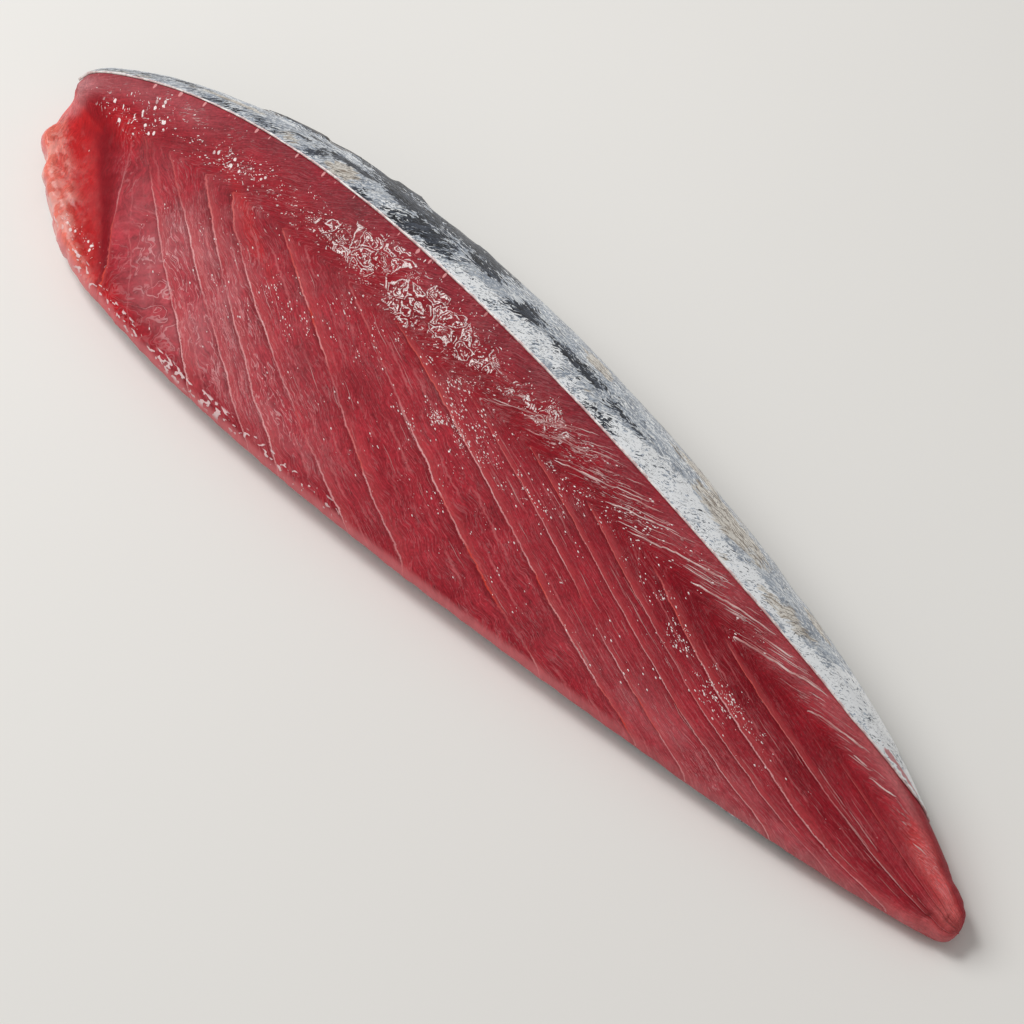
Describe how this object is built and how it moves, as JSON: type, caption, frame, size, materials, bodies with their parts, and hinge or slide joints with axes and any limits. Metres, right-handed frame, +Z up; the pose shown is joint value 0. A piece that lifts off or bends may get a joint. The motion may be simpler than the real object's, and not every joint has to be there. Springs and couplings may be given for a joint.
{
  "type": "raw bonito fillet",
  "caption": "Long raw loin of a small tuna, pointed at the tail, cut face up and leaning, with silver skin round the far side and underneath.",
  "frame": {"origin": "centre of the bounding box in plan, at the level the fillet lies on", "axes": "+X along the fillet from the blunt head end to the tail tip, +Y from the low lip across to the high skin side, +Z up"},
  "size_m": [0.3398, 0.0826, 0.038],
  "materials": {
    "flesh": "wet raw red fish muscle",
    "skin": "wet silver fish skin, blue-grey mottling"
  },
  "bodies": {
    "root": {"flesh": "flesh", "skin": "skin"}
  },
  "joints": []
}
